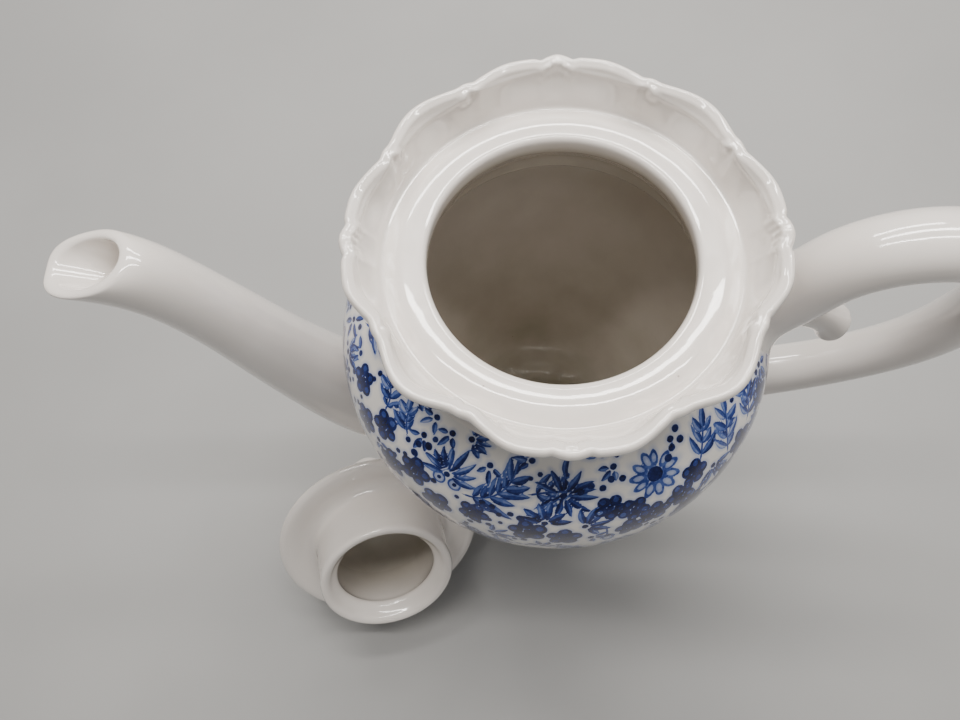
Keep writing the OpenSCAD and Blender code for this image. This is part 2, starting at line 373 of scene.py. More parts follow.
def fan(tip, base, columns, first=False):
    """Triangles from a point to the first or the last row of a skin."""
    pairs = [(base + k, base + (k + 1) % columns) for k in range(columns)]
    return [(tip, b, a) if first else (tip, a, b) for a, b in pairs]


def turned(radius, z, angles):
    """Rows of points at those radii and heights round Z."""
    return np.stack([radius[:, None] * np.cos(angles), radius[:, None] * np.sin(angles),
                     np.repeat(z[:, None], len(angles), axis=1)], axis=-1).reshape(-1, 3)


def make_piece(name, points, faces, node, material, body="pot", place=None,
               fields=None):
    """A smooth mesh from points in mm that stands for the CAD node named."""
    points = np.asarray(points, float)
    if place is not None:
        points = points @ np.array(place.to_3x3()).T + np.array(place.translation)
    mesh = bpy.data.meshes.new(name)
    mesh.from_pydata((points * MM).tolist(), [], [tuple(int(i) for i in f) for f in faces])
    mesh.validate()
    mesh.shade_smooth()
    for key, values in (fields or {}).items():
        attribute = mesh.attributes.new(key, "FLOAT", "POINT")
        attribute.data.foreach_set("value", np.asarray(values, np.float32))
    mesh.materials.append(material)
    piece = bpy.data.objects.new(name, mesh)
    show(piece)
    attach(piece, body)
    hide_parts(node)
    return piece


def lathe(profile, columns):
    """Points and faces of a closed profile turned round Z; ends on the axis become single points."""
    profile = np.asarray(profile, float)
    on_axis = [abs(profile[0, 0]) < 1e-6, abs(profile[-1, 0]) < 1e-6]
    rows = profile[(1 if on_axis[0] else 0):(len(profile) - 1 if on_axis[1] else len(profile))]
    points = turned(rows[:, 0], rows[:, 1], turns(columns)).tolist()
    faces = ring_faces(len(rows), columns, closed=not any(on_axis)).tolist()
    if on_axis[0]:
        points.append((0, 0, profile[0, 1]))
        faces += fan(len(points) - 1, 0, columns, first=True)
    if on_axis[1]:
        points.append((0, 0, profile[-1, 1]))
        faces += fan(len(points) - 1, (len(rows) - 1) * columns, columns)
    return np.array(points), faces


# ---- the painted body
FAR, HAIR = 9.0, 0.34


def bowed(start, turn, length, bend):
    """Nine points of a gently bowed stem."""
    points = []
    for i in range(9):
        t = i / 8
        a = turn + bend * (t - 0.5)
        points.append((start[0] + length * t * math.cos(a), start[1] + length * t * math.sin(a)))
    return points


class Garden:
    """Distance fields, in mm, of the cobalt marks over the body's outer skin."""

    def __init__(self, angle, climb, radius):
        self.angle, self.climb, self.radius = angle, climb, radius
        count = len(angle)
        self.leaf, self.petal, self.dark = (np.full(count, FAR) for _ in range(3))
        self.near, self.stem = np.full(count, FAR), np.full(count, FAR)
        self.side, self.tone = np.zeros(count), np.full(count, 0.45)

    def around(self, spot, reach):
        """Indices near a spot, and their coordinates from it along the skin."""
        angle, climb = spot
        rows = np.nonzero(np.abs(self.climb - climb) < reach)[0]
        here = rows[np.argmin(np.abs(self.climb[rows] - climb))]
        x = ((self.angle[rows] - angle + math.pi) % (2 * math.pi) - math.pi) * self.radius[here]
        keep = np.abs(x) < reach
        return rows[keep], x[keep], self.climb[rows[keep]] - climb

    def ink(self, spot):
        """Distance from a spot to the nearest mark so far."""
        near, x, y = self.around(spot, 2.0)
        best = near[np.argmin(np.hypot(x, y))]
        return min(self.leaf[best], self.petal[best], self.dark[best], self.near[best])

    def blade(self, at, x, y, root, turn, length, width, bend, tone):
        """One lance leaf from its root."""
        c, s = math.cos(turn), math.sin(turn)
        u = ((x - root[0]) * c + (y - root[1]) * s) / length
        t = np.clip(u, 0, 1)
        v = (y - root[1]) * c - (x - root[0]) * s - bend * length * 4 * t * (1 - t)
        half = 0.5 * width * np.sin(math.pi * t ** 0.82) ** 0.85
        gap = np.abs(v) - half
        d = np.where((u > 0) & (u < 1), gap, np.hypot(np.maximum(gap, 0), (u - t) * length))
        self.over(at, d, v, tone - 0.10 * t)

    def over(self, at, d, v, tone):
        """Lays a mark over earlier ones and leaves a hair of white round it."""
        self.leaf[at] = np.maximum(self.leaf[at], HAIR - d)
        first = d < self.leaf[at]
        spots = at[first]
        self.leaf[spots] = d[first]
        self.side[spots] = v[first] if np.ndim(v) else v
        self.tone[spots] = tone[first] if np.ndim(tone) else tone

    def disc(self, field, at, x, y, centre, radius, squash=1.0, turn=0.0):
        """A round or oval mark."""
        c, s = math.cos(turn), math.sin(turn)
        u, v = (x - centre[0]) * c + (y - centre[1]) * s, (y - centre[1]) * c - (x - centre[0]) * s
        d = (np.hypot(u / radius, v / (radius * squash)) - 1) * radius * min(1, squash)
        kept = getattr(self, field)
        kept[at] = np.minimum(kept[at], d)

    def vine(self, at, x, y, points):
        """A thin stem along a polyline, kept as a signed distance so that it stays fine and sharp."""
        for a, b in zip(points[:-1], points[1:]):
            run = math.hypot(b[0] - a[0], b[1] - a[1])
            c, s = (b[0] - a[0]) / run, (b[1] - a[1]) / run
            u, v = (x - a[0]) * c + (y - a[1]) * s, (y - a[1]) * c - (x - a[0]) * s
            d = np.hypot(u - np.clip(u, 0, run), v)
            first = d < self.near[at]
            spots = at[first]
            self.near[spots] = d[first]
            self.stem[spots] = np.where((u > 0) & (u < run), v, np.sign(v + 1e-9) * d)[first]

    def spray(self, spot, turn, length, rng, pairs, leaf, width, tone):
        """A bowed twig with lance leaves in pairs and one at its end."""
        at, x, y = self.around(spot, length + leaf + 3)
        bend = rng.uniform(-0.7, 0.7)
        twig = bowed((0, 0), turn, length, bend)
        self.vine(at, x, y, twig)
        for i in range(pairs):
            t = 0.12 + 0.76 * i / max(1, pairs - 1)
            k = t * (len(twig) - 1)
            a, b = twig[int(k)], twig[min(int(k) + 1, len(twig) - 1)]
            root = (a[0] + (b[0] - a[0]) * (k % 1), a[1] + (b[1] - a[1]) * (k % 1))
            way = turn + bend * (2 * t - 0.5)
            for sign in (1, -1):
                size = leaf * rng.uniform(0.78, 1.1) * (1 - 0.3 * t)
                self.blade(at, x, y, root, way + sign * rng.uniform(0.55, 0.95), size,
                           width * rng.uniform(0.85, 1.15), sign * rng.uniform(-0.02, 0.09),
                           tone + rng.uniform(-0.1, 0.1))
        self.blade(at, x, y, twig[-1], turn + bend * 1.2, leaf * 0.9, width, 0.03, tone)

    def tuft(self, spot, turn, rng, count, leaf, width, spread, tone=0.48):
        """Leaves that fan out of one point."""
        at, x, y = self.around(spot, leaf * 1.3 + 3)
        for i in range(count):
            way = turn + spread * (i / (count - 1) - 0.5) + rng.uniform(-0.1, 0.1)
            size = leaf * rng.uniform(0.8, 1.15) * (1 - 0.18 * abs(2 * i / (count - 1) - 1))
            self.blade(at, x, y, (1.3 * math.cos(way), 1.3 * math.sin(way)), way, size,
                       width * rng.uniform(0.85, 1.15), rng.uniform(-0.06, 0.06),
                       tone + rng.uniform(-0.12, 0.12))
        self.disc("dark", at, x, y, (0, 0), 0.9)

    def rosette(self, spot, size, rng):
        """A dark flower of five round petals, each with a paler spot, round a dark eye."""
        petals, tone = 5, 0.70
        at, x, y = self.around(spot, size * 1.2 + 3)
        turn = rng.uniform(0, 2)
        for i in range(petals):
            a = turn + 2 * math.pi * i / petals
            centre = (0.60 * size * math.cos(a), 0.60 * size * math.sin(a))
            radius = 0.40 * size * rng.uniform(0.92, 1.08)
            d = np.hypot(x - centre[0], y - centre[1]) - radius
            self.over(at, d, 0.5, tone + rng.uniform(-0.08, 0.05))
            glint = np.hypot(x - centre[0] * 1.12, y - centre[1] * 1.12) - 0.44 * radius
            ring = np.maximum(d + 0.05, -glint)
            self.dark[at] = np.minimum(self.dark[at], ring)
        self.disc("dark", at, x, y, (0, 0), 0.2 * size)

    def daisy(self, spot, size, rng):
        """A pale flower with outlined petals round a dark eye."""
        petals = 11
        at, x, y = self.around(spot, size + 4)
        turn = rng.uniform(0, 1)
        for i in range(petals):
            a = turn + 2 * math.pi * i / petals + rng.uniform(-0.06, 0.06)
            long = 0.33 * size * rng.uniform(0.93, 1.1)
            centre = (0.66 * size * math.cos(a), 0.66 * size * math.sin(a))
            self.disc("petal", at, x, y, centre, long, 0.50, a)
        self.disc("dark", at, x, y, (0, 0), 0.31 * size)

    def berries(self, spot, turn, rng, count, radius=1.05, gap=2.9):
        """A bowed line of dots."""
        at, x, y = self.around(spot, gap * count + 3)
        bend = rng.uniform(-0.9, 0.9)
        for i in range(count):
            t = i - (count - 1) / 2
            a = turn + bend * t / count
            side = 1.5 * (i % 2 - 0.5)
            centre = (gap * t * math.cos(a) - side * math.sin(a), gap * t * math.sin(a) + side * math.cos(a))
            self.disc("dark", at, x, y, centre, radius * rng.uniform(0.8, 1.15))

    def bud(self, spot, turn, rng, size):
        """An oval bud on a stem, with two sepals."""
        at, x, y = self.around(spot, size * 5)
        c, s = math.cos(turn), math.sin(turn)
        foot = (-2.6 * size * c, -2.6 * size * s)
        self.vine(at, x, y, bowed(foot, turn, 2.0 * size, rng.uniform(-0.5, 0.5)))
        self.disc("petal", at, x, y, (0.2 * size * c, 0.2 * size * s), size, 0.62, turn)
        self.disc("dark", at, x, y, (-0.55 * size * c, -0.55 * size * s), 0.42 * size, 0.9, turn)
        for sign in (1, -1):
            self.blade(at, x, y, (-0.9 * size * c, -0.9 * size * s), turn + 0.62 * sign, 1.5 * size,
                       0.45 * size, 0.05 * sign, 0.5)

    def disc_ring(self, spot, radius):
        """A small ringed petal."""
        at, x, y = self.around(spot, radius * 3 + 3)
        self.disc("petal", at, x, y, (0, 0), radius)
        self.disc("dark", at, x, y, (0, 0), radius * 0.34)

    def blade_at(self, spot, turn, length, width, bend, tone):
        """A lance leaf on its own."""
        at, x, y = self.around(spot, length + 3)
        self.blade(at, x, y, (0, 0), turn, length, width, bend, tone)


def climb_of(z):
    """Distance along the outer skin from the foot up to a height."""
    return np.interp(z, CLIMB_Z, CLIMB)


CLIMB_Z = np.linspace(FOOT_TOP, 193, 1861)
CLIMB = np.concatenate([[0], np.cumsum(np.hypot(np.diff(CLIMB_Z), np.diff(body_r(CLIMB_Z))))])


def skin_r(climb):
    """Radius of the outer skin at a distance along it."""
    return float(body_r(np.interp(climb, CLIMB, CLIMB_Z)))


def spot(degrees, z):
    """A place on the outer skin as its angle and its distance from the foot."""
    return math.radians(degrees), float(climb_of(z))


def plant(garden):
    """Lays out the front of the pot one by one and fills the rest in the same manner, flowers first."""
    rng = np.random.default_rng(11)
    up = math.pi / 2
    garden.daisy(spot(-64, 181.6), 7.4, rng)
    for degrees, z, size in ((-77.5, 177.2, 4.7), (-71.5, 174.5, 4.9), (-66, 169.5, 5.2), (-58.5, 171.5, 5.0),
                             (-53.5, 176, 4.6), (-72.5, 166.5, 4.8), (-56, 164, 5.2), (-130, 173.5, 5.6),
                             (-137, 168, 5.4), (-143.5, 177, 5.2), (-122, 167, 5.4), (-150, 170.5, 5.2),
                             (-112, 171.2, 4.8), (-98, 169, 5.8), (-89, 166.5, 5.2), (-37, 169.5, 5.4),
                             (-44, 163.5, 5.2), (-24, 172.5, 5.0), (-158, 178, 5.0)):
        garden.rosette(spot(degrees, z), size, rng)
    garden.tuft(spot(-121.5, 179.2), up + 0.1, rng, 9, 9.4, 2.0, 3.3)
    for degrees, z in ((-123.2, 177.4), (-118.6, 177.6)):
        garden.disc_ring(spot(degrees, z), 2.0)
    garden.spray(spot(-115, 176.4), 0.42, 17, rng, 6, 11.0, 2.5, 0.5)
    garden.spray(spot(-98, 181.4), 0.25, 10, rng, 4, 8.6, 2.1, 0.50)
    garden.tuft(spot(-89.5, 181.6), 0.1, rng, 10, 8.6, 1.8, 5.2, 0.55)
    garden.blade_at(spot(-88.6, 184.6), 1.35, 8.5, 1.7, 0.16, 0.58)
    garden.berries(spot(-79, 182.8), 0.15, rng, 5)
    garden.berries(spot(-105.4, 174.6), -0.2, rng, 5)
    garden.berries(spot(-131, 181.6), 1.0, rng, 4)
    garden.berries(spot(-55, 184.6), 0.7, rng, 4)
    garden.spray(spot(-50.5, 178.5), 1.0, 9, rng, 3, 8.0, 2.4, 0.44)
    garden.spray(spot(-42, 173), 1.25, 12, rng, 4, 8.4, 2.4, 0.42)
    garden.spray(spot(-32, 174), 0.9, 10, rng, 4, 8.4, 2.4, 0.46)
    garden.spray(spot(-146.5, 180.4), 1.9, 7, rng, 3, 8.4, 2.4, 0.50)
    garden.spray(spot(-137, 181), 2.3, 6, rng, 3, 8.0, 2.3, 0.44)
    garden.tuft(spot(-94, 173.6), up, rng, 6, 7.6, 2.3, 2.8, 0.56)
    garden.tuft(spot(-84, 172), 0.4, rng, 6, 7.6, 2.2, 2.6, 0.5)

    low, high = float(climb_of(22)), float(climb_of(188.3))
    fills = ((11.5, 160, "flower"), (6.4, 700, "spray"), (4.2, 1600, "tuft"), (2.9, 2600, "leaves"),
             (2.1, 2000, "dots"))
    for clear, tries, kind in fills:
        for _ in range(tries):
            here = (rng.uniform(-math.pi, math.pi), rng.uniform(low, high))
            if rng.uniform(0, 68) > skin_r(here[1]) or garden.ink(here) < clear * 0.62:
                continue
            turn = rng.uniform(0, 2 * math.pi)
            if kind == "flower":
                cluster(garden, here, rng)
            elif kind == "spray":
                garden.spray(here, turn, rng.uniform(7, 13), rng, int(rng.integers(3, 6)),
                             rng.uniform(7.4, 9.4), 2.0, rng.uniform(0.38, 0.56))
            elif kind == "tuft":
                if rng.uniform() < 0.3:
                    garden.bud(here, turn, rng, rng.uniform(2.6, 3.3))
                else:
                    garden.tuft(here, turn, rng, int(rng.integers(4, 7)), rng.uniform(5.2, 7.2), 1.8,
                                rng.uniform(1.8, 3.2), rng.uniform(0.4, 0.6))
            elif kind == "leaves":
                garden.tuft(here, turn, rng, 3, 4.6, 1.7, 1.7, 0.46)
            else:
                garden.berries(here, turn, rng, int(rng.integers(1, 4)), 0.85, 2.4)


def cluster(garden, here, rng):
    """A daisy or a few round flowers grown together, in a collar of leaves."""
    radius = skin_r(here[1])
    turn = rng.uniform(0, 6)
    daisies = rng.uniform() < 0.35
    if daisies:
        garden.daisy(here, rng.uniform(6.6, 7.8), rng)
    count = int(rng.integers(3, 6))
    for i in range(count):
        a, away = turn + 2 * math.pi * i / 5, 11.5 if daisies else 7.6
        there = (here[0] + away * math.cos(a) / radius, here[1] + away * math.sin(a))
        if climb_of(16) < there[1] < climb_of(183):
            garden.rosette(there, rng.uniform(4.6, 5.5), rng)
    if not daisies:
        garden.rosette(here, rng.uniform(5.0, 5.8), rng)
    for i in range(5):
        a, away = turn + 0.6 + 2 * math.pi * i / 5, 15
        there = (here[0] + away * math.cos(a) / radius, here[1] + away * math.sin(a))
        if climb_of(16) < there[1] < climb_of(182):
            garden.tuft(there, a, rng, 4, 8.0, 2.3, 1.5, 0.5)


def inside_profile():
    """Inner wall from the neck down to the middle of the floor, as (radius, height)."""
    bend_z, bend_r = 24, 12
    z = np.arange(float(NECK), float(bend_z), -1.6)
    wall = np.stack([lining_r(z), z], axis=1)
    low_r = float(lining_r(bend_z))
    bend = arc((low_r - bend_r, bend_z), bend_r, 0, -90, 14)
    floor = [(r, 12 - 0.25 * (1 - r / 16)) for r in np.linspace(low_r - 13.6, 0, 11)]
    return np.concatenate([wall, bend, floor])


def make_body():
    """The painted skin, finer in its upper half, and a lining with a third of its columns."""
    columns, coarse = 720, 240
    rows = np.concatenate([np.linspace(climb_of(FOOT_TOP), climb_of(96), 86, endpoint=False),
                           np.linspace(climb_of(96), climb_of(NECK), 172)])
    z = np.interp(rows, CLIMB, CLIMB_Z)
    radius = body_r(z)
    angles = turns(columns)
    skin = turned(radius, z, angles)
    faces = ring_faces(len(rows), columns).tolist()
    inside = inside_profile()
    between = 2 * math.pi * (3 * np.arange(coarse) + 1) / columns
    lining = turned(inside[:-1, 0], inside[:-1, 1], between)
    start = len(skin)
    faces += (ring_faces(len(inside) - 1, coarse) + start).tolist()
    top = (len(rows) - 1) * columns
    for k in range(coarse):
        a, b, c, n = (top + (3 * k + j) % columns for j in (0, 1, 2, 3))
        here, there = start + k, start + (k + 1) % coarse
        faces += [(a, b, here), (b, c, here), (c, n, there, here)]
    points = np.concatenate([skin, lining, [(0, 0, inside[-1, 1])], [(0, 0, FOOT_TOP)]])
    faces += fan(len(points) - 2, start + (len(inside) - 2) * coarse, coarse)
    faces += fan(len(points) - 1, 0, columns, first=True)

    garden = Garden(np.tile(angles, len(rows)), np.repeat(rows, columns), np.repeat(radius, columns))
    plant(garden)
    spare = len(points) - len(skin)
    fields = {}
    for key in ("leaf", "petal", "dark", "stem", "near", "side", "tone"):
        blank = 0.0 if key in ("side", "tone") else FAR
        fields[key] = np.concatenate([getattr(garden, key), np.full(spare, blank)])
    # painted shade with a coffee stain on the lining, darker towards the floor
    stain_and_shade = 0.42 + 0.43 * smooth(-inside[:-1, 1], -150, -30)
    fields["inside"] = np.concatenate([np.zeros(len(skin)), np.repeat(stain_and_shade, coarse), [0.85, 0]])
    piece = make_piece("body_painted", points, faces, "body", decorated_porcelain("cobalt_under_glaze"),
                       fields=fields)
    # the lining takes the material with the coffee stain and painted shade
    piece.data.materials.append(stained_and_shaded_porcelain("stained_and_shaded_inside"))
    index = np.array([1 if min(p.vertices) >= start else 0 for p in piece.data.polygons], np.int32)
    piece.data.polygons.foreach_set("material_index", index)
    return piece


def drill_holes(piece):
    """Seven pouring holes through the wall behind the spout."""
    height, tilt, ring, radius, sides = 83, 68, 9, 2.5, 36
    root = Vector((-float(body_r(height)), 0, height)) * MM
    turn = Matrix.Translation(root) @ Matrix.Rotation(math.radians(tilt), 4, "Y")
    points, faces = [], []
    for centre in [(0, 0)] + arc((0, 0), ring, 0, 300, 6):
        start = len(points)
        for level in (-9, 10):
            points += [tuple(turn @ (Vector((x, y, level)) * MM))
                       for x, y in arc(centre, radius, 0, 360 - 360 / sides, sides)]
        faces += (ring_faces(2, sides) + start).tolist()
        near = list(range(start, start + sides))
        faces += [near[::-1], [k + sides for k in near]]
    mesh = bpy.data.meshes.new("drill")
    mesh.from_pydata(points, [], faces)
    drill = bpy.data.objects.new("drill", mesh)
    show(drill)
    cut = piece.modifiers.new("holes", "BOOLEAN")
    cut.operation, cut.object, cut.solver = "DIFFERENCE", drill, "EXACT"
    bpy.context.view_layer.update()
    result = bpy.data.meshes.new_from_object(piece.evaluated_get(bpy.context.evaluated_depsgraph_get()))
    piece.modifiers.remove(cut)
    old = piece.data
    piece.data = result
    result.name = "body_painted"
    bpy.data.meshes.remove(old)
    bpy.data.objects.remove(drill)
    bpy.data.meshes.remove(mesh)


# ---- foot, seat and gallery rim
def make_foot(material):
    outer = spline([(float(body_r(FOOT_TOP)) + 0.05, 7.2), (37.9, 6.3), (39.9, 5.2), (41, 3.4), (40.4, 1.5),
                    (38.9, 0.35)], 10)
    tread = spline([(38.9, 0.35), (38.2, 0.06), (36.8, 0), (35.2, 0.05), (34.4, 0.5)], 8)[1:]
    recess = spline([(34.4, 0.5), (34.2, 1.8), (33.6, 3.6), (31.6, 5.0), (27, 5.6), (16, 5.9),
                     (0, 6.0)], 8)[1:]
    top = [(0, 7.4), (20, 7.4), (36.5, 7.4)]
    points, faces = lathe(np.concatenate([top, outer, tread, recess]), 256)
    bare = smooth(-points[:, 2], -1.0, -0.55) * smooth(ring_of(points), 33.6, 34.1)
    make_piece("foot", points, faces, "foot_ring", material, fields={"bare": bare})


def make_seat(material):
    throat = spline([(float(lining_r(NECK)), 189.6), (39.9, 194.2), (38.0, 199.4), (36.0, 203.2),
                     (35.08, 205.6), (35.0, 207.9), (35.15, 209.2), (35.7, 210.0), (36.7, 210.4)], 8)
    crown = spline([(36.7, 210.4), (38.8, 210.62), (41, 210.6), (43.2, 210.08), (44.8, 209.4), (46.2, 208.8),
                    (47.0, 208.0)], 8)[1:]
    neck = spline([(46.3, 199.6), (45.6, 197.9), (44.4, 195.6), (43.95, 193.4), (44.9, 191.4),
                   (float(body_r(NECK)), NECK), (float(body_r(189.4)), 189.4)], 6)
    points, faces = lathe(np.concatenate([throat, crown, neck]), 360)
    # painted shade, with some coffee stain, on the throat below the mouth's edge
    stain_and_shade = 0.62 * smooth(-points[:, 2], -208.8, -205.5) * (ring_of(points) < 42)
    make_piece("lid_seat_ring", points, faces, "lid_seat", material, fields={"inside": stain_and_shade})


def quarter(degrees):
    """Angle from the nearest of the rim's four tips."""
    return np.abs((degrees + 45) % 90 - 45)


def scallop(degrees):
    """The rim's wave between two tips, from -1 to 1."""
    q = quarter(degrees)
    return np.where(q < 12.5, np.cos(np.radians(50 * (1 - q / 12.5))),
                    np.where(q < 28, np.cos(np.pi * (q - 12.5) / 15.5), -np.cos(np.pi * (q - 28) / 17)))


def make_rim(material):
    """The flared collar: a rolled scalloped edge, a border that ends in volutes, and small shells."""
    columns, count = 960, 100
    degrees = 360 * np.arange(columns) / columns
    q = quarter(degrees)
    tip = np.exp(-(q / 2.6) ** 2)
    wave = scallop(degrees)
    knot = np.exp(-((q - 28.9) / 1.9) ** 2) - 0.45 * np.exp(-((q - 25.6) / 1.3) ** 2)
    notch = np.exp(-((q - 4.6) / 1.2) ** 2)
    edge_r = RIM_R + LOBE * wave + 0.9 * tip + 0.34 * knot - 0.42 * notch
    edge_z = MOUTH_H + RIM_RISE - 0.6 * wave + 0.4 * tip + 0.16 * knot - 0.2 * notch
    rings = np.empty((columns, count, 2))
    for i, (r, z) in enumerate(zip(edge_r, edge_z)):
        path = spline([(SEAT_R - 0.3, 199.0), (SEAT_R + 0.3, 199.9), (48.3, 203.0), (r - 4.0, z - 9),
                       (r - 1.3, z - 4.6), (r - 0.1, z - 2.3), (r - 0.3, z - 0.8), (r - 1.25, z),
                       (r - 2.3, z - 0.45), (r - 3.4, z - 1.7), (0.72 * r + 10.6, z - 4.6),
                       (0.3 * r + 32.0, 212.4), (47.3, 210.2), (46.6, 209.2), (45.7, 208.95),
                       (44.6, 208.7), (44.3, 204.0)], 8)
        rings[i] = resampled(path, count)
    # relief on the inner face, by the depth below the crest and the way round
    crest = np.argmax(rings[:, :, 1], axis=1)
    along = np.linalg.norm(np.diff(rings, axis=1, prepend=rings[:, :1]), axis=2).cumsum(axis=1)
    depth = along - np.take_along_axis(along, crest[:, None], axis=1)
    q, edge = q[:, None], 51
    way = np.radians(q) * edge
    big = np.clip(np.cos(np.radians((q - 45) * 90 / 16)), 0, 1) ** 0.8
    small = np.clip(np.cos(np.radians((q - 14.5) * 90 / 11.5)), 0, 1) ** 0.8
    border = 2.3 + 2.3 * big + 1.5 * small
    relief = 0.16 * (1 - smooth(depth, border - 0.9, border + 0.9))
    relief += 0.30 * np.exp(-((depth - border) / 0.55) ** 2)
    relief += 0.22 * np.exp(-((depth - 1.9) / 0.5) ** 2)
    volute = np.hypot(depth - 3.4, way - math.radians(30.6) * edge)
    relief += 0.42 * np.exp(-(volute / 1.3) ** 2) - 0.16 * np.exp(-((volute - 2.3) / 0.8) ** 2)
    flutes = 0.78 + 0.22 * np.cos(2 * np.pi * way / 2.1)
    shell = np.exp(-((depth - 3.3) / 2.1) ** 2 - (way / 2.7) ** 2) * flutes
    relief += 0.5 * shell - 0.2 * np.exp(-((depth - 5.8) / 0.9) ** 2 - (way / 3.2) ** 2)
    lift = relief * smooth(depth, 0.2, 2.0)
    tangent = unit(np.gradient(rings, axis=1))
    normal = np.stack([-tangent[:, :, 1], tangent[:, :, 0]], axis=2)
    normal *= np.where(normal[:, :, 1:] > normal[:, :, :1], 1, -1)
    rings = rings + lift[:, :, None] * normal
    angle = np.radians(degrees)[:, None]
    r, z = rings[:, :, 0], rings[:, :, 1]
    points = np.stack([r * np.cos(angle), r * np.sin(angle), z], axis=-1)
    points = points.transpose(1, 0, 2).reshape(-1, 3)
    faces = ring_faces(count, columns, closed=True)
    make_piece("gallery_collar", points, faces, "gallery_rim", material)


# ---- spout, handle and scrolls
SEAM = 1.5


def press_out(points):
    """Moves the points that lie deeper in the body's wall than the seam outwards to it."""
    ring = ring_of(points)
    seam = body_r(np.clip(points[..., 2], *SKIN_Z)) - SEAM
    points[..., :2] *= np.where(ring < seam, seam / ring, 1.0)[..., None]
    return points


def settle(points, flare):
    """Presses a swept skin into the body's wall where it reaches it, and flares it where it leaves."""
    ring = ring_of(points)
    z = np.clip(points[..., 2], *SKIN_Z)
    away = (ring - body_r(z)) / np.sqrt(1 + body_slope(z) ** 2)
    centre = points.mean(axis=1, keepdims=True)
    out = points - centre
    normal = unit(np.stack([points[..., 0] / ring, points[..., 1] / ring, -body_slope(z)], axis=-1))
    out = out - (out * normal).sum(axis=-1, keepdims=True) * normal
    out /= np.maximum(np.linalg.norm(out, axis=-1, keepdims=True), 1e-6)
    near = np.clip(away / flare, 0, 1)
    grow = flare * (1 - np.sqrt(np.clip(1 - (1 - near) ** 2, 0, 1))) * 0.8
    return press_out(points + out * grow[..., None])


def ovals(stations, headings, columns):
    """Rings of points round a path in the XZ plane. Stations are x, z, half depth and half width."""
    a = turns(columns)
    up = np.stack([np.cos(headings + math.pi / 2), np.sin(headings + math.pi / 2)], axis=1)
    x = stations[:, 0:1] + stations[:, 2:3] * np.cos(a) * up[:, 0:1]
    z = stations[:, 1:2] + stations[:, 2:3] * np.cos(a) * up[:, 1:2]
    return np.stack([x, stations[:, 3:4] * np.sin(a) + 0 * x, z], axis=-1)


def capped(rings):
    """Points and faces of a tube with closed ends."""
    rows, columns = rings.shape[:2]
    points = np.concatenate([rings.reshape(-1, 3), rings[:1].mean(axis=1), rings[-1:].mean(axis=1)])
    faces = ring_faces(rows, columns).tolist()
    faces += fan(len(points) - 2, 0, columns, first=True)
    faces += fan(len(points) - 1, (rows - 1) * columns, columns)
    return points, faces


# stations as x, z, half depth and half width; the spout's also have the lean of their ring in degrees
SPOUT = [(-33, 72, 22.6, 20.4, 8), (-44, 74, 23, 20, 28), (-57, 80, 20.5, 18.6, 36),
         (-71, 93, 17.4, 17.4, 50), (-84.5, 120.5, 14.8, 15.4, 66), (-94, 147, 12.6, 13, 71),
         (-101, 170, 11.2, 11.2, 71), (-107.5, 188, 10.4, 10.2, 66), (-114, 200, 10.6, 10, 60),
         (-119.3, 205.3, 11.7, 10.0, 66), (-125.7, 208.9, 14.1, 10.2, 76)]
HANDLE = [(56, 171, 13, 13), (62, 180, 10.5, 11.2), (68.5, 190, 9.2, 10.2), (74, 201, 8.8, 9.8),
          (83, 208.8, 8.6, 9.7), (96, 211.6, 8.5, 9.7), (109.5, 207.8, 8.4, 9.5), (119.5, 197, 8.2, 9.1),
          (125, 181, 8, 8.7), (124.2, 163, 7.8, 8.5), (118.8, 147.5, 7.8, 8.4), (109.5, 135.5, 7.8, 8.4),
          (98, 126.3, 8, 8.6), (84.5, 119, 8.6, 9), (71, 113.5, 9.8, 9.6), (57, 108.5, 12, 11)]
SCROLL = [(60, 174, 6, 6), (69, 175, 5.4, 5.6), (77, 171.5, 4.6, 5), (83.3, 166.7, 4.9, 5.2),
          (86.6, 163.6, 6.0, 6.4)]
LEAF = [(86, 111.5, 4, 5.2), (79, 105.5, 4.6, 6), (71.5, 100.5, 4.2, 5.4), (66.5, 99.5, 3.2, 4.2)]


